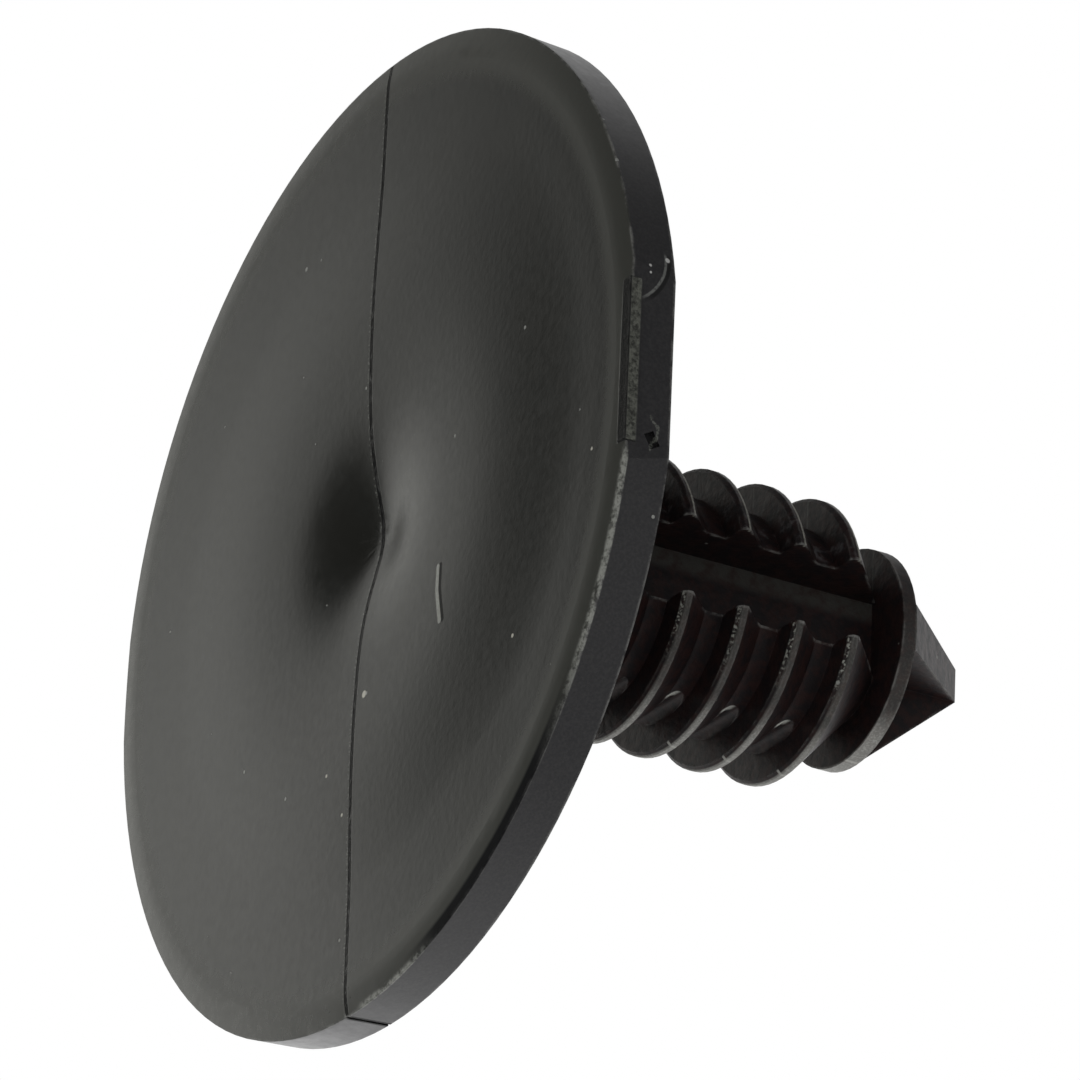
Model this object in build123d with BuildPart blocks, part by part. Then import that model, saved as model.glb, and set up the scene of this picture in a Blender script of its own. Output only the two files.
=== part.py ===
from build123d import *
import os

# Plastic push rivet, one moulding, in millimetres.
# It stands on its head: +Z runs from the head's outer face to the point, on the shank's axis.
# The two mould halves part on the YZ plane and pull along +X and -X. The gate is on +X.

# Head disc, outer face downwards
head_radius = 15.0
rim_height = 1.37
rim_draft = 0.07
rim_drop = 0.18
dimple_depth = 0.72
dimple_radius = 5.0
dimple_lip = 0.04
dome_radius = 7.4
hollow_inset = 3.0
hollow_height = 0.095
crest_inset = 0.9
crest_height = 0.075
gate_flat_depth = 0.31
far_flat_depth = 0.09

# Torn gate lip along the flat at +X, and the pit where the tear ended
gate_lip_start = 0.07
gate_lip_length = 4.9
gate_lip_height = 0.38
gate_lip_proud = 0.06
gate_lip_root = 0.35
tear_pit_along = 2.27
tear_pit_up = 0.99
tear_pit_length = 0.46
tear_pit_width = 0.34
tear_pit_turn = 30
tear_pit_depth = 0.14

# Open seam across the rim at +Y, where the mould halves met
seam_offset = 0.26
seam_width = 0.12
seam_depth = 0.13

# Shank: a thick core with six barbs round it, each with a bevelled rim and a hollow back
core_radius = 3.42
seat_chamfer = 0.4
first_barb_gap = 3.06
barb_height = 0.93
barb_rim = 0.28
rim_bevel = 0.12
waist_height = 0.31
waist_run = 0.6
barb_back_run = 1.0
barb_pitch = 1.88
barb_count = 6

# Slots along the shank on both pull sides, and channels across the core behind the barbs
slot_width = 2.4
slot_floor = 1.55
channel_depth = 0.32
channel_width = 0.6

# Neck and end disc
neck_radius = 2.1
neck_length = 2.04
end_disc_radius = 3.36
end_disc_height = 0.46

# Point: two crossed blades that taper to one short edge
point_height = 3.38
blade_reach = 3.3
blade_x_thickness = 1.44
blade_y_thickness = 1.2
point_edge_length = 1.06
point_edge_width = 0.36

# Heights and places that follow from the sizes above
underside = rim_drop + rim_height
hollow_radius = head_radius - hollow_inset
crest_radius = head_radius - crest_inset
barb_radius = core_radius + barb_height
barb_faces = [underside + first_barb_gap + i * barb_pitch for i in range(barb_count)]
end_disc_face = barb_faces[-1] + barb_rim + neck_length
point_base = end_disc_face + end_disc_height
tip = point_base + point_height
channel_floor = core_radius - channel_depth
gate_flat = head_radius - gate_flat_depth
far_flat = far_flat_depth - head_radius

with BuildPart() as push_rivet:
    # Dished head and barbed shank, turned as one profile
    with BuildSketch(Plane.XZ) as profile:
        with BuildLine():
            dish = Spline(
                (0, dimple_depth),
                (0.28 * dimple_radius, 0.68 * dimple_depth),
                (0.60 * dimple_radius, 0.25 * dimple_depth),
                (dimple_radius, dimple_lip),
                (dome_radius, 0),
                (hollow_radius, hollow_height),
                (crest_radius, crest_height),
                tangents=((1, 0), (1, 0)),
            )
            rolled_edge = TangentArc(dish @ 1, (head_radius, rim_drop), tangent=dish % 1)
            last = Polyline(rolled_edge @ 1, (head_radius - rim_draft, underside), (core_radius, underside))
            for face in barb_faces:
                last = Polyline(
                    last @ 1,
                    (core_radius, face),
                    (barb_radius - rim_bevel, face),
                    (barb_radius, face + rim_bevel),
                    (barb_radius, face + barb_rim),
                )
                if face < barb_faces[-1]:
                    waist = (core_radius + waist_height, face + barb_rim + waist_run)
                    foot = (core_radius, face + barb_rim + barb_back_run)
                    last = Polyline(last @ 1, waist, foot)
            Polyline(
                last @ 1,
                (neck_radius, end_disc_face),
                (end_disc_radius, end_disc_face),
                (end_disc_radius, point_base),
                (0, point_base),
                dish @ 0,
            )
        make_face()
        roots = profile.vertices().filter_by(lambda v: abs(v.X - core_radius) < 0.01)
        chamfer(roots.sort_by(Axis.Y)[0], seat_chamfer)
    revolve(axis=Axis.Z)

    # Flats on the rim where the mould halves were filled
    split(bisect_by=Plane(origin=(gate_flat, 0, 0), z_dir=(1, 0, 0)), keep=Keep.BOTTOM)
    split(bisect_by=Plane(origin=(far_flat, 0, 0), z_dir=(-1, 0, 0)), keep=Keep.BOTTOM)

    # Torn lip that the gate left along the flat, and the pit at its end
    with BuildSketch(Plane.YZ.offset(gate_flat - gate_lip_root)):
        with Locations((0, gate_lip_start + gate_lip_height / 2)):
            Rectangle(gate_lip_length, gate_lip_height)
    extrude(amount=gate_lip_root + gate_lip_proud)
    with BuildSketch(Plane.YZ.offset(gate_flat)):
        with Locations((tear_pit_along, tear_pit_up)):
            Rectangle(tear_pit_length, tear_pit_width, rotation=tear_pit_turn)
    extrude(amount=-tear_pit_depth, mode=Mode.SUBTRACT)

    # Seam across the rim, closed at the rolled edge and open at the underside
    with BuildSketch(Plane.XY.offset(rim_drop)):
        with Locations((seam_offset, head_radius)):
            Rectangle(seam_width, 2 * seam_depth)
    extrude(amount=rim_height, mode=Mode.SUBTRACT)

    # Slots along both pull sides, down to the flat faces of the core
    with BuildSketch(Plane.XY.offset(underside)):
        with Locations((slot_floor + barb_radius / 2, 0), (-slot_floor - barb_radius / 2, 0)):
            Rectangle(barb_radius, slot_width)
    extrude(amount=end_disc_face - underside, mode=Mode.SUBTRACT)

    # Round-bottomed channels across the core, ruled along the pull, against the next barb's face
    with BuildSketch(Plane.YZ):
        for face in barb_faces[1:]:
            middle = face - channel_width / 2
            reach = channel_floor + barb_radius / 2
            with Locations((reach, middle), (-reach, middle)):
                SlotOverall(barb_radius, channel_width)
    extrude(amount=barb_radius, both=True, mode=Mode.SUBTRACT)

    # Point: two crossed blades that taper to the same short edge
    with Locations((0, 0, point_base)):
        for length, width in ((2 * blade_reach, blade_x_thickness), (blade_y_thickness, 2 * blade_reach)):
            Wedge(
                length,
                point_height,
                width,
                (length - point_edge_width) / 2,
                (width - point_edge_length) / 2,
                (length + point_edge_width) / 2,
                (width + point_edge_length) / 2,
                rotation=(90, 0, 0),
                align=(Align.CENTER, Align.MIN, Align.CENTER),
            )

push_rivet.part.label = "push_rivet"

os.makedirs("parts", exist_ok=True)
export_step(push_rivet.part, "parts/push_rivet.step")
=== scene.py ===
import bpy
import math
from mathutils import Matrix, Vector


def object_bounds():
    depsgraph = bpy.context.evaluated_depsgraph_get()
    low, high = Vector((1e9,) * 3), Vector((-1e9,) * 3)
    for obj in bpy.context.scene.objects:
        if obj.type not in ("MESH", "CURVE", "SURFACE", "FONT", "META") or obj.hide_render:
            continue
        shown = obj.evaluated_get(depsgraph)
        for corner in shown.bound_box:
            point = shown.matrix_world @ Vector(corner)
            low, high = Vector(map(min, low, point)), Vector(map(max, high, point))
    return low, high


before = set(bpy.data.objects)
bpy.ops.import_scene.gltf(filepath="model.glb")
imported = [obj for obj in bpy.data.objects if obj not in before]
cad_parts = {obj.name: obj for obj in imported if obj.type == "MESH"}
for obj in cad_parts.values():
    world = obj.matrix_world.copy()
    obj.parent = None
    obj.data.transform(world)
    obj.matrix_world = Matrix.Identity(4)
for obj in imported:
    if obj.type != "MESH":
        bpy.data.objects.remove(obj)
cad_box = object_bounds()

MM = 0.001
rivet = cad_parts["push_rivet"]

# Camera: the photograph's view, worked out from the head's two rim circles
IMAGE_SIDE = 1080
FOCUS_PX = 8676.0
CAMERA_DISTANCE = 250.0 * MM
SENSOR_WIDTH = 36.0
HEAD_CENTRE_PX = (368.37, 531.5)
AXIS_TILT = math.radians(63.3)
AXIS_TURN = math.radians(15.13)
MOULD_TURN = math.radians(26.4)
RIM_PLANE = Vector((0, 0, 0.18 * MM))

# Studio: light from each direction, given as right, down and away in the photograph.
# A lobe is full inside its first angle and nothing past its second.
STUDIO_FILL = 0.12
STUDIO_LOBES = {
    "key beside the camera": ((-0.45, -0.1, -0.9), 15, 60, 1.2),
    "white sweep behind": ((0.3, 0.0, 0.95), 20, 60, 0.8),
    "white table below": ((0.05, 0.85, 0.5), 22, 75, 0.95),
    "pale wall at the right": ((0.8, 0.1, -0.6), 15, 50, 0.4),
}

# Softbox that the head's outer face mirrors, close behind it at the left.
# Each dim side is given as millimetres from the middle, start and end, and the strength at both.
SOFTBOX_DISTANCE = 60 * MM
SOFTBOX_HALF_WIDTH = 60 * MM
SOFTBOX_HALF_HEIGHT = 50 * MM
SOFTBOX_STRENGTH = 1.0
SOFTBOX_COLOUR = (1.0, 1.0, 0.95, 1)
SOFTBOX_DIM_EDGE = (-3, 9, 1.0, 0.05)
SOFTBOX_DIM_BACK = (-26, -38, 1.0, 0.3)
SOFTBOX_DIM_TOP = (25, -25, 1.0, 0.5)

# Floor
FLOOR_SIZE = 2.0
FLOOR_COLOUR = (0.85, 0.85, 0.85, 1)

# Places on the rivet, in millimetres: x along the mould's pull, y along the parting line, z up the axis
SOFT_EDGE = 0.03
STROKE_SOFT_EDGE = 0.02
FACE_RADIUS = 14.95
RIM_FRONT = 0.19
SHANK_START = (1.6, 2.4)
BARB_RADIUS = 4.35
FIRST_BARB = 4.61
BARB_PITCH = 1.88
BARB_END = 14.6
BARB_BACK = 0.265
BARB_BEVEL = 0.04
SLOT_FLOOR = 1.55
HOOK_CENTRE = (3.40, 0.05)
HOOK_RADIUS = 0.25
HOOK_HEIGHT = FIRST_BARB + 2 * BARB_PITCH + 1.47
DISC_RADIUS = 3.36
POINT_START = 17.0
LIP_BACK = 14.34
LIP_HALF_LENGTH = 2.47
SEAM_OFFSET = 0.26
TEAR_PIT = (2.27, 0.99)

# Marks that the mould and the handling left, and places of painted highlights and shadows, in millimetres
EDGE_WEAR_REACH = 0.09
EDGE_ROUNDING = 0.05
PARTING_BEND = (-0.05, 0.0105, 0.0009)
PARTING_HALF_WIDTH = 0.07
PARTING_DEPTH = 0.1
PALE_SPECKS_OFFSET = -0.16
FLASH_OFFSET = 0.3
FIBRE_POINTS = ((4.57, 2.75), (4.58, 3.46), (4.85, 4.49))
FIBRE_HALF_WIDTH = 0.085
FLAKE_POINTS = ((1.62, 0.92), (1.92, 1.17), (2.22, 1.13), (2.52, 0.93))
SCAR_CENTRE = (-3.38, -0.53)
SCAR_RADIUS = 1.85
SCAR_DOTS = ((-3.31, 1.33, 0.09), (-2.97, 0.73, 0.06), (-2.75, 0.74, 0.05))
FACE_SPECKS = (
    (0.54, 5.29, 0.13),
    (-0.4, 8.7, 0.07),
    (8.97, 6.35, 0.08),
    (-1.42, 7.18, 0.07),
    (12.96, 2.13, 0.07),
)
DUST_CELLS = 1.1
DUST_RADIUS = 0.075

# Colours of the nylon, of the marks on it, and of the painted highlights and shade
FACE_COLOURS = ((0.0165, 0.0165, 0.014, 1), (0.0145, 0.015, 0.013, 1))
CREST_COLOUR = (0.050, 0.051, 0.044, 1)
RIM_COLOURS = ((0.021, 0.0205, 0.0225, 1), (0.037, 0.036, 0.037, 1))
SHANK_COLOURS = ((0.026, 0.0125, 0.0115, 1), (0.0125, 0.0095, 0.0105, 1))
# Painted highlight along one side of the slot's floor
SLOT_FLOOR_HIGHLIGHT_COLOUR = (0.072, 0.070, 0.062, 1)
# Painted highlight on the point's upper faces
POINT_HIGHLIGHT_COLOURS = ((0.065, 0.065, 0.062, 1), (0.17, 0.17, 0.165, 1))
LIP_COLOURS = ((0.022, 0.023, 0.018, 1), (0.15, 0.155, 0.13, 1))
# Painted shade over the gate lip
LIP_SHADE_COLOUR = (0.012, 0.012, 0.011, 1)
FIBRE_COLOURS = ((0.15, 0.15, 0.13, 1), (0.45, 0.46, 0.42, 1))
# Rims paler from rubbing and from painted highlight, and painted highlight on their undersides
RUBBED_AND_HIGHLIGHT_COLOUR = (0.34, 0.34, 0.31, 1)
UNDERSIDE_HIGHLIGHT_COLOUR = (0.60, 0.60, 0.56, 1)
# Back edges of the upper barbs, partly painted highlight
BACK_EDGE_HIGHLIGHT_COLOUR = (0.42, 0.42, 0.36, 1)
FLECK_COLOUR = (0.55, 0.56, 0.50, 1)
# Smudges on the upper barbs, partly painted highlight
SMUDGE_AND_HIGHLIGHT_COLOUR = (0.25, 0.25, 0.26, 1)
# Painted highlights at the channel ends and along the flash
HOOK_HIGHLIGHT_COLOUR = (0.60, 0.61, 0.56, 1)
FLASH_HIGHLIGHT_COLOUR = (0.5, 0.5, 0.46, 1)
WORN_COLOUR = (0.38, 0.38, 0.36, 1)
SCUFF_COLOUR = (0.40, 0.41, 0.37, 1)
FLAKE_COLOUR = (0.22, 0.23, 0.20, 1)
RING_COLOUR = (0.30, 0.31, 0.29, 1)
DOT_COLOUR = (0.6, 0.6, 0.58, 1)
SPECK_COLOUR = (0.60, 0.58, 0.50, 1)
PALE_SPECKS_AND_HIGHLIGHT_COLOUR = (0.30, 0.31, 0.28, 1)
DUST_COLOUR = (0.42, 0.43, 0.40, 1)
# Painted shade in the tear pit
PIT_SHADE_COLOUR = (0.004, 0.004, 0.004, 1)
SHADOW_COLOUR = (0.004, 0.004, 0.006, 1)
RING_SHADE_COLOUR = (0.006, 0.006, 0.006, 1)
PARTING_COLOUR = (0.0015, 0.0015, 0.002, 1)
# Dark of the seam's crack, also the painted shadow beside the fibre
CRACK_AND_SHADOW_COLOUR = (0.003, 0.003, 0.003, 1)


def photo_axes():
    """The object's X, Y and Z axes in the photograph: right, down and away."""
    turn = Vector((math.cos(AXIS_TURN), math.sin(AXIS_TURN)))
    shank = Vector((math.sin(AXIS_TILT) * turn.x, math.sin(AXIS_TILT) * turn.y, math.cos(AXIS_TILT)))
    near = Vector((math.cos(AXIS_TILT) * turn.x, math.cos(AXIS_TILT) * turn.y, -math.sin(AXIS_TILT)))
    side = Vector((-turn.y, turn.x, 0))
    pull = math.cos(MOULD_TURN) * near - math.sin(MOULD_TURN) * side
    parting = math.sin(MOULD_TURN) * near + math.cos(MOULD_TURN) * side
    return pull, parting, shank


AXES = photo_axes()


def from_photo(direction):
    """Turns a direction given as right, down and away in the photograph into the frame's axes."""
    return Vector([Vector(direction).dot(axis) for axis in AXES])


def make_camera():
    right, down, away = from_photo((1, 0, 0)), from_photo((0, 1, 0)), from_photo((0, 0, 1))
    mm_per_px = CAMERA_DISTANCE / FOCUS_PX
    offset_x = (HEAD_CENTRE_PX[0] - IMAGE_SIDE / 2) * mm_per_px
    offset_y = (HEAD_CENTRE_PX[1] - IMAGE_SIDE / 2) * mm_per_px
    eye = RIM_PLANE - right * offset_x - down * offset_y - away * CAMERA_DISTANCE
    data = bpy.data.cameras.new("camera")
    data.sensor_width = SENSOR_WIDTH
    data.lens = SENSOR_WIDTH * FOCUS_PX / IMAGE_SIDE
    data.clip_start, data.clip_end = 0.01, 10.0
    camera = bpy.data.objects.new("camera", data)
    turn = Matrix((right, -down, -away)).transposed()
    camera.matrix_world = Matrix.Translation(eye) @ turn.to_4x4()
    bpy.context.collection.objects.link(camera)
    bpy.context.scene.camera = camera


class Tree:
    """Short calls for the nodes of one material or world."""

    def __init__(self, owner):
        owner.use_nodes = True
        self.nodes, self.links = owner.node_tree.nodes, owner.node_tree.links
        self.nodes.clear()

    def add(self, kind, inputs=None, **settings):
        node = self.nodes.new(kind)
        for name, value in settings.items():
            setattr(node, name, value)
        for name, value in (inputs or {}).items():
            self.feed(node.inputs[name], value)
        return node

    def feed(self, socket, value):
        if isinstance(value, bpy.types.NodeSocket):
            self.links.new(value, socket)
        else:
            socket.default_value = value

    def math(self, operation, *values):
        node = self.add("ShaderNodeMath", operation=operation)
        for socket, value in zip(node.inputs, values):
            self.feed(socket, value)
        return node.outputs[0]

    def product(self, first, *others):
        """All the values times each other."""
        for value in others:
            first = self.math("MULTIPLY", first, value)
        return first

    def total(self, first, *others):
        """The sum of the values."""
        for value in others:
            first = self.math("ADD", first, value)
        return first

    def largest(self, first, *others):
        """The largest of the values."""
        for value in others:
            first = self.math("MAXIMUM", first, value)
        return first

    def vector(self, operation, first, second):
        node = self.add("ShaderNodeVectorMath", operation=operation)
        self.feed(node.inputs[0], first)
        self.feed(node.inputs[1], second)
        return node.outputs["Value" if operation == "DOT_PRODUCT" else "Vector"]

    def ramp(self, value, start, end, low=0.0, high=1.0):
        """Smooth step from low, at start, to high, at end."""
        span = {"From Min": start, "From Max": end, "To Min": low, "To Max": high}
        node = self.add("ShaderNodeMapRange", {"Value": value, **span}, interpolation_type="SMOOTHSTEP")
        return node.outputs[0]

    def band(self, value, middle, half_width, soft=SOFT_EDGE):
        """One within half_width of the middle, and nothing a little further off."""
        away = self.math("ABSOLUTE", self.math("SUBTRACT", value, middle))
        return self.ramp(away, half_width + soft, half_width)

    def noise(self, vector, scale, detail=2.0, roughness=0.5):
        inputs = {"Vector": vector, "Scale": scale, "Detail": detail, "Roughness": roughness}
        return self.add("ShaderNodeTexNoise", inputs).outputs[0]

    def distance(self, across, up, centre):
        """How far two coordinates are from a point."""
        sideways, upright = self.math("SUBTRACT", across, centre[0]), self.math("SUBTRACT", up, centre[1])
        squares = self.math("ADD", self.product(sideways, sideways), self.product(upright, upright))
        return self.math("SQRT", squares)

    def stroke(self, across, up, start, end, half_width):
        """One on a straight stroke from start to end, in two coordinates."""
        run = Vector(end) - Vector(start)
        run_squared = run.dot(run)
        sideways, upright = self.math("SUBTRACT", across, start[0]), self.math("SUBTRACT", up, start[1])
        along = self.math("ADD", self.product(sideways, run.x), self.product(upright, run.y))
        share = self.math("DIVIDE", along, run_squared)
        share = self.math("MINIMUM", self.math("MAXIMUM", share, 0.0), 1.0)
        off_x = self.math("SUBTRACT", sideways, self.math("MULTIPLY", share, run.x))
        off_y = self.math("SUBTRACT", upright, self.math("MULTIPLY", share, run.y))
        off = self.math("SQRT", self.math("ADD", self.product(off_x, off_x), self.product(off_y, off_y)))
        return self.ramp(off, half_width + STROKE_SOFT_EDGE, half_width)

    def strokes(self, across, up, points, half_width):
        """The strokes that join the points in turn."""
        joined = 0.0
        for start, end in zip(points, points[1:]):
            joined = self.math("MAXIMUM", self.stroke(across, up, start, end, half_width), joined)
        return joined

    def blend(self, amount, first, second):
        node = self.add("ShaderNodeMix", data_type="RGBA")
        self.feed(node.inputs[0], amount)
        self.feed(node.inputs[6], first)
        self.feed(node.inputs[7], second)
        return node.outputs[2]


def make_world():
    """White for the camera, and the studio for everything else."""
    world = bpy.data.worlds.new("studio")
    bpy.context.scene.world = world
    tree = Tree(world)
    place = tree.add("ShaderNodeTexCoord").outputs["Generated"]
    total = STUDIO_FILL
    for direction, full_inside, nothing_past, strength in STUDIO_LOBES.values():
        dot = tree.vector("DOT_PRODUCT", place, from_photo(Vector(direction).normalized()))
        start, end = math.cos(math.radians(nothing_past)), math.cos(math.radians(full_inside))
        total = tree.math("ADD", tree.ramp(dot, start, end, 0.0, strength), total)
    studio = tree.add("ShaderNodeBackground", {"Strength": total})
    white = tree.add("ShaderNodeBackground", {"Color": (1, 1, 1, 1)})
    seen = tree.add("ShaderNodeLightPath").outputs["Is Camera Ray"]
    mix = tree.add("ShaderNodeMixShader", {0: seen, 1: studio.outputs[0], 2: white.outputs[0]})
    tree.add("ShaderNodeOutputWorld", {"Surface": mix.outputs[0]})


def make_softbox():
    """Lamp panel across the mirrored view of the outer face, dimmer at its top and its near edge."""
    axis = from_photo((0, 0, 1))
    face_out = Vector((0, 0, -1))
    mirrored = axis - 2 * axis.dot(face_out) * face_out
    along = (Vector((0, 1, 0)) - mirrored * mirrored.y).normalized()
    across = along.cross(mirrored)
    if across.x < 0:
        across.negate()
    middle = RIM_PLANE + mirrored * SOFTBOX_DISTANCE
    wide, high = across * SOFTBOX_HALF_WIDTH, along * SOFTBOX_HALF_HEIGHT
    corners = [middle - wide - high, middle + wide - high, middle + wide + high, middle - wide + high]
    mesh = bpy.data.meshes.new("softbox")
    mesh.from_pydata([tuple(corner) for corner in corners], [], [(0, 1, 2, 3)])
    softbox = bpy.data.objects.new("softbox", mesh)
    bpy.context.collection.objects.link(softbox)
    softbox.visible_camera = False

    material = bpy.data.materials.new("softbox")
    tree = Tree(material)
    place = tree.add("ShaderNodeTexCoord").outputs["Object"]
    offset = tree.vector("SUBTRACT", place, middle)
    from_edge = tree.vector("DOT_PRODUCT", offset, across / MM)
    from_top = tree.vector("DOT_PRODUCT", offset, along / MM)
    near_edge, back = tree.ramp(from_edge, *SOFTBOX_DIM_EDGE), tree.ramp(from_edge, *SOFTBOX_DIM_BACK)
    strength = tree.product(near_edge, back, tree.ramp(from_top, *SOFTBOX_DIM_TOP), SOFTBOX_STRENGTH)
    lamp = tree.add("ShaderNodeEmission", {"Color": SOFTBOX_COLOUR, "Strength": strength})
    tree.add("ShaderNodeOutputMaterial", {"Surface": lamp.outputs[0]})
    softbox.data.materials.append(material)


def make_floor():
    """Pale floor under the head, seen only from above, so that the view from below isn't blocked."""
    bpy.ops.mesh.primitive_plane_add(size=FLOOR_SIZE, location=(0, 0, cad_box[0].z))
    floor = bpy.context.object
    floor.name = "floor"
    floor.visible_shadow = False
    floor.visible_diffuse = False
    floor.visible_glossy = False
    floor.visible_transmission = False
    material = bpy.data.materials.new("floor")
    tree = Tree(material)
    below = tree.add("ShaderNodeNewGeometry").outputs["Backfacing"]
    pale = tree.add("ShaderNodeBsdfDiffuse", {"Color": FLOOR_COLOUR})
    clear = tree.add("ShaderNodeBsdfTransparent")
    mix = tree.add("ShaderNodeMixShader", {0: below, 1: pale.outputs[0], 2: clear.outputs[0]})
    tree.add("ShaderNodeOutputMaterial", {"Surface": mix.outputs[0]})
    floor.data.materials.append(material)


class Nylon(Tree):
    """Satin black nylon: a greenish face, bluish rim and brownish shank, with the rivet's marks and
    painted highlights and shade.
    """

    def __init__(self, owner):
        super().__init__(owner)
        here = self.add("ShaderNodeTexCoord").outputs["Object"]
        scaled = self.add("ShaderNodeVectorMath", {0: here, "Scale": 1 / MM}, operation="SCALE")
        self.place = scaled.outputs["Vector"]
        self.x, self.y, self.z = self.add("ShaderNodeSeparateXYZ", {0: self.place}).outputs
        self.radius = self.distance(self.x, self.y, (0.0, 0.0))
        self.angle = self.math("ARCTAN2", self.y, self.x)
        self.fine = self.noise(self.place, 3.0, 4.0, 0.65)
        self.grain = self.noise(self.place, 11.0, 4.0, 0.7)
        self.torn = self.noise(self.place, 7.0, 4.0, 0.75)
        self.on_shank = self.ramp(self.z, *SHANK_START)
        within_rim = self.ramp(self.radius, FACE_RADIUS + 0.02, FACE_RADIUS - 0.02)
        self.on_face = self.product(self.ramp(self.z, 1.0, 0.8), within_rim)
        self.colour = None

    def paint(self, mask, amount, colour):
        """Lays a colour over what is there, as far as the mask and the amount say."""
        self.colour = self.blend(self.product(mask, amount), self.colour, colour)

    def within_pitch(self, height):
        """Height above the nearest barb's copy of a height."""
        above = self.math("SUBTRACT", self.z, height)
        turns = self.math("ROUND", self.math("DIVIDE", above, BARB_PITCH))
        return self.math("SUBTRACT", above, self.product(turns, BARB_PITCH))

    def base_colours(self):
        """Colour by place, with slow patches on the face and the crest near its edge a little paler."""
        patches = self.ramp(self.noise(self.place, 0.35, 3.0), 0.35, 0.65)
        face = self.blend(patches, *FACE_COLOURS)
        outwards, front = self.ramp(self.radius, 13.3, 14.0), self.ramp(self.z, 0.3, 0.2)
        self.on_crest = self.product(outwards, front, self.ramp(self.x, -3.0, 6.0, 0.6, 1.0))
        face = self.blend(self.on_crest, face, CREST_COLOUR)
        upright = self.product(self.ramp(self.z, 0.15, 0.25), self.ramp(self.z, 1.62, 1.54))
        self.on_rim = self.product(self.ramp(self.radius, 14.55, 14.7), upright)
        bluish = self.blend(self.ramp(self.grain, 0.35, 0.7), *RIM_COLOURS)
        brown = self.blend(self.ramp(self.fine, 0.4, 0.6), *SHANK_COLOURS)
        self.colour = self.blend(self.on_rim, face, bluish)
        self.colour = self.blend(self.on_shank, self.colour, brown)

    def slot_floors(self):
        """Painted highlight in patches along one wall of the slot's floor, and brown along the other."""
        at_floor = self.band(self.math("ABSOLUTE", self.x), SLOT_FLOOR, 0.02)
        on_floor = self.product(at_floor, self.on_shank, self.ramp(self.z, 16.5, 16.4))
        patchy = self.ramp(self.fine, 0.3, 0.6, 0.35, 1.0)
        self.paint(self.product(on_floor, self.ramp(self.y, -0.45, -0.8), patchy), 0.65, SLOT_FLOOR_HIGHLIGHT_COLOUR)

    def rubbed_and_lit_rims(self):
        """Rims of the barbs and the end disc: paler from rubbing, with a painted highlight towards their
        lower side, and white painted highlight underneath.
        """
        outer = self.ramp(self.radius, BARB_RADIUS - 0.06, BARB_RADIUS - 0.02)
        on_barbs = self.product(self.on_shank, outer, self.ramp(self.y, -1.2, 1.2))
        outermost = self.ramp(self.radius, DISC_RADIUS - 0.08, DISC_RADIUS - 0.02)
        upright = self.product(self.ramp(self.z, 16.3, 16.36), self.ramp(self.z, 16.84, 16.78))
        self.on_disc = self.product(upright, outermost)
        below_barbs = self.product(self.ramp(self.y, 3.4, 4.2), on_barbs)
        below_disc = self.product(self.ramp(self.y, 2.3, 3.1), self.on_disc)
        underneath = self.largest(below_barbs, below_disc)
        disc_lit_below = self.product(self.on_disc, self.ramp(self.y, -3.0, 3.0, 0.2, 0.7))
        self.rubbed_and_lit = self.largest(on_barbs, disc_lit_below)
        spots = self.ramp(self.noise(self.place, 14.0, 3.0, 0.6), 0.46, 0.66, 0.55, 0.9)
        self.paint(self.product(self.rubbed_and_lit, spots), 0.3, RUBBED_AND_HIGHLIGHT_COLOUR)
        self.paint(self.product(underneath, spots), 0.7, UNDERSIDE_HIGHLIGHT_COLOUR)

    def barb_edges(self):
        """Bright back edges of the upper barbs, partly a painted highlight, and flecks on the bevels
        beside the slots.
        """
        up_barb = self.within_pitch(FIRST_BARB)
        ends = self.ramp(self.z, BARB_END + 0.1, BARB_END - 0.1)
        self.near_barbs = self.product(self.on_shank, ends, self.ramp(self.radius, 4.18, 4.24))
        lit_back_edge = self.product(self.near_barbs, self.band(up_barb, BARB_BACK, 0.02))
        lit_back_edge = self.product(lit_back_edge, self.ramp(self.grain, 0.3, 0.55, 0.3, 1.0))
        self.paint(self.product(lit_back_edge, self.ramp(self.y, 1.2, -1.2)), 0.8, BACK_EDGE_HIGHLIGHT_COLOUR)
        beside_slot = self.product(self.ramp(self.angle, 0.25, 0.33), self.ramp(self.angle, 0.85, 0.45))
        bevels = self.product(self.near_barbs, self.band(up_barb, BARB_BEVEL, 0.03), beside_slot)
        self.paint(self.product(bevels, self.ramp(self.grain, 0.50, 0.60)), 0.8, FLECK_COLOUR)

    def barb_smudges_and_highlights(self):
        """Pale smudges on the upper barbs beside the slot, partly painted highlights."""
        beside = self.product(self.band(self.y, -1.9, 0.35, 0.4), self.ramp(self.x, 2.4, 3.0))
        beside = self.product(beside, self.on_shank, self.ramp(self.z, BARB_END, BARB_END - 0.2))
        patchy = self.ramp(self.noise(self.place, 2.5, 4.0, 0.65), 0.52, 0.68)
        self.paint(self.product(beside, patchy), 0.3, SMUDGE_AND_HIGHLIGHT_COLOUR)

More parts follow.
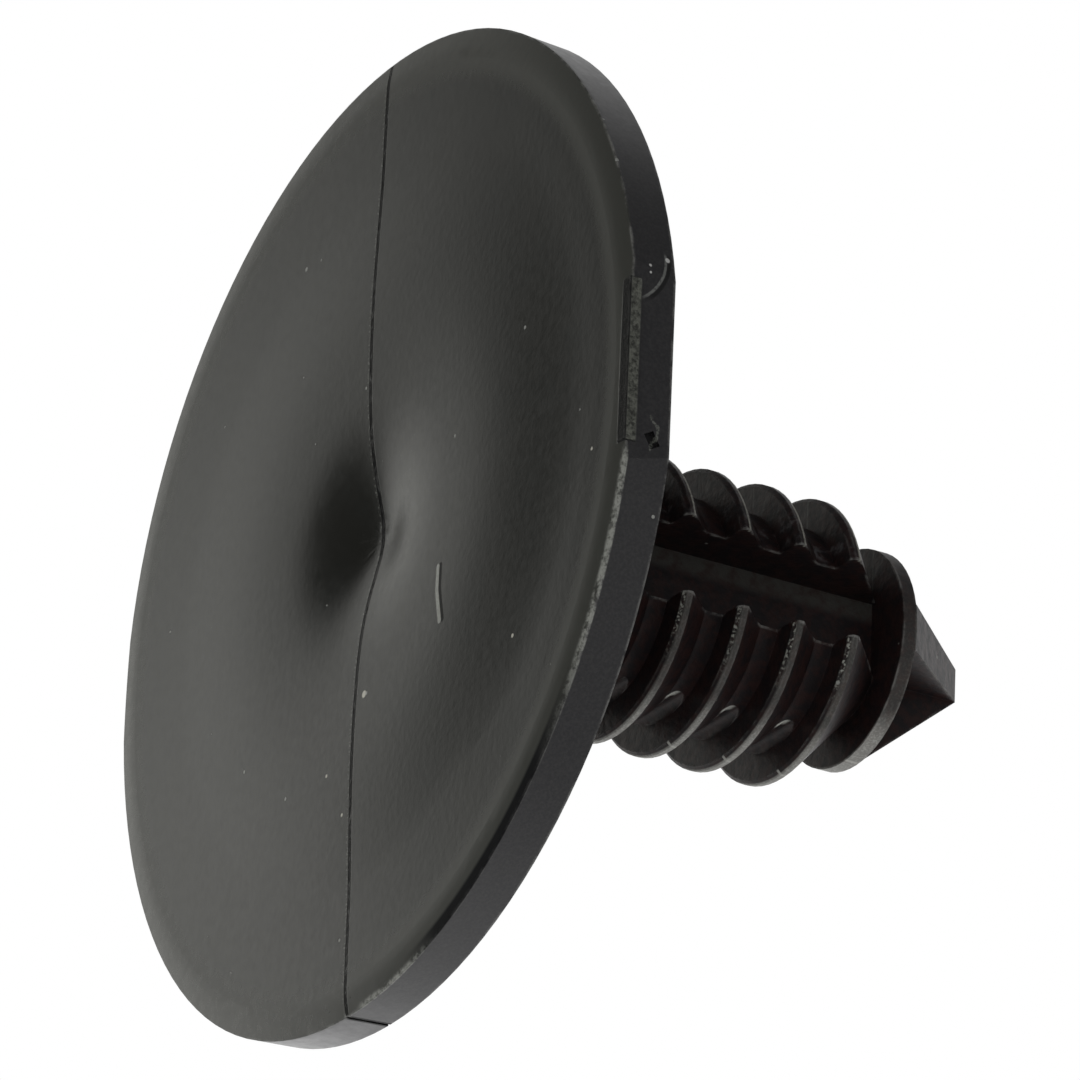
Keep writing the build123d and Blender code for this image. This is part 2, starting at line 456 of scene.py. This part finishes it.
    def channel_highlights(self):
        """Painted highlights: bright hooks at the ends of the channels, and a pale line along the flash
        where the mould halves met.
        """
        off_centre = self.distance(self.y, self.within_pitch(HOOK_HEIGHT), HOOK_CENTRE)
        upper_side = self.product(self.ramp(self.y, 3.35, 3.28), self.ramp(self.x, 1.0, 1.2))
        ends = self.product(self.ramp(self.z, 8.0, 8.2), self.ramp(self.z, 14.3, 14.2))
        hook_highlight = self.product(self.band(off_centre, HOOK_RADIUS, 0.035), upper_side, ends)
        self.paint(hook_highlight, 0.9, HOOK_HIGHLIGHT_COLOUR)
        flash = self.product(self.band(self.x, FLASH_OFFSET, 0.035), self.ramp(self.y, 2.9, 3.1))
        flash = self.product(flash, self.on_shank, self.ramp(self.z, 9.5, 9.7))
        self.paint(self.product(flash, self.largest(self.on_disc, self.near_barbs)), 0.8, FLASH_HIGHLIGHT_COLOUR)

    def point_faces(self):
        """Painted highlight: the upper faces of the point paler, by how far they face up."""
        facing = self.add("ShaderNodeNewGeometry").outputs["Normal"]
        up_facing = self.ramp(self.vector("DOT_PRODUCT", facing, (0.0, -1.0, 0.0)), 0.25, 0.45)
        lit_point = self.product(self.ramp(self.z, POINT_START - 0.02, POINT_START + 0.03), up_facing)
        self.paint(lit_point, 1.0, self.blend(self.fine, *POINT_HIGHLIGHT_COLOURS))

    def gate_lip(self):
        """Torn gate lip, paler along its side, with painted shade over the rest of it and its front."""
        bounds = self.product(self.ramp(self.x, 14.3, 14.4), self.ramp(self.z, 0.5, 0.46))
        self.on_lip = self.product(bounds, self.band(self.y, 0.0, LIP_HALF_LENGTH, 0.02))
        side = self.product(self.ramp(self.x, 14.69, 14.74), self.ramp(self.z, 0.10, 0.14))
        side = self.product(self.on_lip, side, self.ramp(self.z, 0.46, 0.41))
        self.lip_front = self.product(self.on_lip, self.ramp(self.z, 0.12, 0.09))
        # painted shade over the lip
        self.paint(self.on_lip, 1.0, LIP_SHADE_COLOUR)
        self.paint(side, 1.0, self.blend(self.ramp(self.torn, 0.35, 0.65), *LIP_COLOURS))

    def worn_edges_and_pit_shade(self):
        """Whitened edges in broken stretches, but hardly along the slots, the lip and the tear pit, and
        painted shade on the tear pit's wall.
        """
        settings = {"inside": True, "only_local": True, "samples": 2}
        reach = {"Distance": EDGE_WEAR_REACH * MM}
        inside = self.add("ShaderNodeAmbientOcclusion", reach, **settings).outputs["AO"]
        broken = self.ramp(self.noise(self.place, 1.6, 4.0, 0.7), 0.40, 0.60)
        slot_edge = self.product(self.on_shank, self.ramp(self.radius, 4.15, 4.05))
        slot_edge = self.product(slot_edge, self.ramp(self.radius, 3.5, 3.6, 0.3, 1.0))
        near_pit = self.ramp(self.distance(self.y, self.z, TEAR_PIT), 0.55, 0.4)
        at_pit = self.product(near_pit, self.ramp(self.x, 14.45, 14.5))
        hidden = self.largest(slot_edge, self.product(self.on_lip, 0.85), at_pit)
        self.worn = self.product(self.ramp(inside, 0.93, 0.6), broken, self.math("SUBTRACT", 1.0, hidden))
        self.paint(self.worn, 0.65, WORN_COLOUR)
        self.pit_shade = self.product(at_pit, self.ramp(self.x, 14.685, 14.66))
        self.paint(self.pit_shade, 0.8, PIT_SHADE_COLOUR)

    def rim_scuffs_and_shadow(self):
        """Front edge of the rim: scuffed beside the gate flat, flaked near the seam, with a painted shadow
        between.
        """
        outermost = self.ramp(self.radius, 14.7, 14.9)
        beside = self.product(self.ramp(self.angle, 0.17, 0.2), self.ramp(self.angle, 0.85, 0.45))
        beside = self.product(self.band(self.z, RIM_FRONT, 0.035, 0.045), outermost, beside)
        flakes = self.product(self.ramp(self.angle, 1.22, 1.28), self.ramp(self.angle, 1.52, 1.48))
        flakes = self.product(self.band(self.z, RIM_FRONT, 0.02), outermost, flakes)
        broken = self.ramp(self.noise(self.place, 4.0, 5.0, 0.75), 0.38, 0.58)
        self.scuff = self.product(self.largest(beside, flakes), broken)
        self.paint(self.scuff, 0.8, SCUFF_COLOUR)
        between = self.product(self.ramp(self.angle, 0.55, 0.8), self.ramp(self.angle, 1.35, 1.2))
        between = self.product(between, self.band(self.z, RIM_FRONT - 0.04, 0.05, 0.04))
        self.shadow = self.product(between, self.ramp(self.radius, 14.6, 14.75))
        self.paint(self.shadow, 0.85, SHADOW_COLOUR)

    def flat_marks(self):
        """Marks on the gate flat: the flake beside the tear pit, and a round scar with dots."""
        on_flat = self.product(self.ramp(self.x, 14.5, 14.56), self.ramp(self.z, 0.47, 0.5))
        ragged = self.math("ADD", self.y, self.product(self.math("SUBTRACT", self.torn, 0.5), 0.6))
        flake = self.product(self.strokes(ragged, self.z, FLAKE_POINTS, 0.03), on_flat)
        self.paint(self.product(flake, self.ramp(self.grain, 0.40, 0.58, 0.15, 1.0)), 0.6, FLAKE_COLOUR)
        from_scar = self.distance(self.y, self.z, SCAR_CENTRE)
        on_scar = self.product(on_flat, self.ramp(self.y, -1.8, -2.1), self.ramp(self.y, -3.6, -3.4))
        outer_side = self.band(from_scar, SCAR_RADIUS + 0.06, 0.04)
        self.paint(self.product(outer_side, on_scar), 1.0, RING_SHADE_COLOUR)
        ring = self.product(self.band(from_scar, SCAR_RADIUS - 0.05, 0.025), on_scar)
        self.paint(self.product(ring, self.ramp(self.grain, 0.35, 0.5, 0.3, 1.0)), 0.5, RING_COLOUR)
        for along, up, size in SCAR_DOTS:
            dot = self.ramp(self.distance(self.y, self.z, (along, up)), size, size - SOFT_EDGE)
            self.paint(self.product(dot, on_flat), 1.0, DOT_COLOUR)

    def parting_line(self):
        """Parting line across the outer face, with pale specks beside it that are partly a painted
        highlight, and the seam across the rim.
        """
        start, slope, curve = PARTING_BEND
        bend = self.math("ADD", self.math("MULTIPLY", self.y, curve), slope)
        line = self.math("ADD", self.math("MULTIPLY", self.y, bend), start)
        off_line = self.math("SUBTRACT", self.x, line)
        dark = self.band(off_line, 0.0, PARTING_HALF_WIDTH)
        self.parting = self.product(dark, self.on_face, self.ramp(self.fine, 0.3, 0.5, 0.7, 1.0))
        self.paint(self.parting, 0.93, PARTING_COLOUR)
        upright = self.product(self.ramp(self.y, 14.3, 14.5), self.ramp(self.z, 0.16, 0.3))
        self.seam = self.product(self.band(self.x, SEAM_OFFSET, 0.14), upright)
        self.paint(self.seam, 0.9, CRACK_AND_SHADOW_COLOUR)
        # Pale specks beside the line, partly a painted highlight along it
        pale_specks = self.product(self.band(off_line, PALE_SPECKS_OFFSET, 0.03), self.on_face)
        self.paint(self.product(pale_specks, self.ramp(self.grain, 0.52, 0.62)), 0.35, PALE_SPECKS_AND_HIGHLIGHT_COLOUR)

    def specks_and_fibre(self):
        """Specks on the face, and a fibre that lies on it with a painted shadow along one side."""
        for across, along, size in FACE_SPECKS:
            speck = self.ramp(self.distance(self.x, self.y, (across, along)), size, size - 0.04)
            self.paint(self.product(speck, self.on_face), 1.0, SPECK_COLOUR)
        self.fibre = self.strokes(self.x, self.y, FIBRE_POINTS, FIBRE_HALF_WIDTH)
        self.fibre = self.product(self.fibre, self.on_face)
        shifted = self.math("SUBTRACT", self.x, 1.8 * FIBRE_HALF_WIDTH)
        self.shade = self.strokes(shifted, self.y, FIBRE_POINTS, FIBRE_HALF_WIDTH)
        self.shade = self.product(self.shade, self.on_face)
        self.paint(self.shade, 0.85, CRACK_AND_SHADOW_COLOUR)
        self.paint(self.fibre, 1.0, self.blend(self.grain, *FIBRE_COLOURS))

    def dust_specks(self):
        """Dust of many sizes, in some of the cells."""
        cells = self.add("ShaderNodeTexVoronoi", {"Vector": self.place, "Scale": DUST_CELLS})
        size, chance, _ = self.add("ShaderNodeSeparateColor", {0: cells.outputs["Color"]}).outputs
        distance = self.math("DIVIDE", cells.outputs["Distance"], DUST_CELLS)
        outside = self.math("SUBTRACT", distance, self.math("MULTIPLY", size, DUST_RADIUS))
        self.dust = self.product(self.ramp(outside, 0.012, -0.004), self.ramp(chance, 0.60, 0.64))
        self.paint(self.dust, 0.8, DUST_COLOUR)

    def normal(self):
        """Rounded edges with the relief, in millimetres, on them."""
        raised = self.total(
            self.product(self.noise(self.place, 4.0, 3.0), 0.003),
            self.product(self.grain, 0.0006),
            self.product(self.noise(self.place, 2.2, 4.0, 0.6), self.on_shank, 0.03),
            self.product(self.torn, self.on_lip, 0.06),
            self.product(self.largest(self.dust, self.fibre), 0.02),
        )
        leaning = self.product(self.lip_front, self.math("SUBTRACT", self.x, LIP_BACK), 0.4)
        sunk = self.total(leaning, self.product(self.parting, PARTING_DEPTH))
        relief = self.math("SUBTRACT", raised, sunk)
        rounded = self.add("ShaderNodeBevel", {"Radius": EDGE_ROUNDING * MM}, samples=2).outputs[0]
        bump = {"Height": relief, "Distance": MM, "Normal": rounded}
        return self.add("ShaderNodeBump", bump).outputs[0]

    def roughness(self):
        loose = self.largest(self.worn, self.dust, self.scuff, self.rubbed_and_lit)
        return self.total(
            self.ramp(self.fine, 0.3, 0.7, 0.20, 0.26),
            self.product(self.on_rim, 0.12),
            self.product(self.on_shank, 0.2),
            self.product(self.on_crest, 0.1),
            self.product(loose, 0.2),
        )

    def gloss(self):
        """Specular level: hardly any in the dark crack lines and the painted shadows, less in the painted
        shade of the lip and the tear pit, and less on the shank.
        """
        cracks_and_shadows = self.product(self.largest(self.parting, self.seam, self.shade, self.shadow), 0.85)
        hollows = self.product(self.largest(self.lip_front, self.pit_shade), 0.5)
        dull = self.largest(cracks_and_shadows, hollows, self.product(self.on_shank, 0.5))
        return self.product(self.math("SUBTRACT", 1.0, dull), 0.5)

    def make_shader(self):
        inputs = {
            "Base Color": self.colour,
            "Roughness": self.roughness(),
            "Specular IOR Level": self.gloss(),
            "Normal": self.normal(),
        }
        shader = self.add("ShaderNodeBsdfPrincipled", inputs)
        self.add("ShaderNodeOutputMaterial", {"Surface": shader.outputs[0]})


def black_nylon():
    material = bpy.data.materials.new("black_nylon")
    nylon = Nylon(material)
    nylon.base_colours()
    nylon.slot_floors()
    nylon.rubbed_and_lit_rims()
    nylon.barb_edges()
    nylon.barb_smudges_and_highlights()
    nylon.channel_highlights()
    nylon.point_faces()
    nylon.gate_lip()
    nylon.worn_edges_and_pit_shade()
    nylon.rim_scuffs_and_shadow()
    nylon.flat_marks()
    nylon.parting_line()
    nylon.specks_and_fibre()
    nylon.dust_specks()
    nylon.make_shader()
    return material


make_camera()
make_world()
make_softbox()
make_floor()
for slot in rivet.material_slots:
    slot.material = black_nylon()

bpy.context.scene.view_settings.view_transform = "Standard"
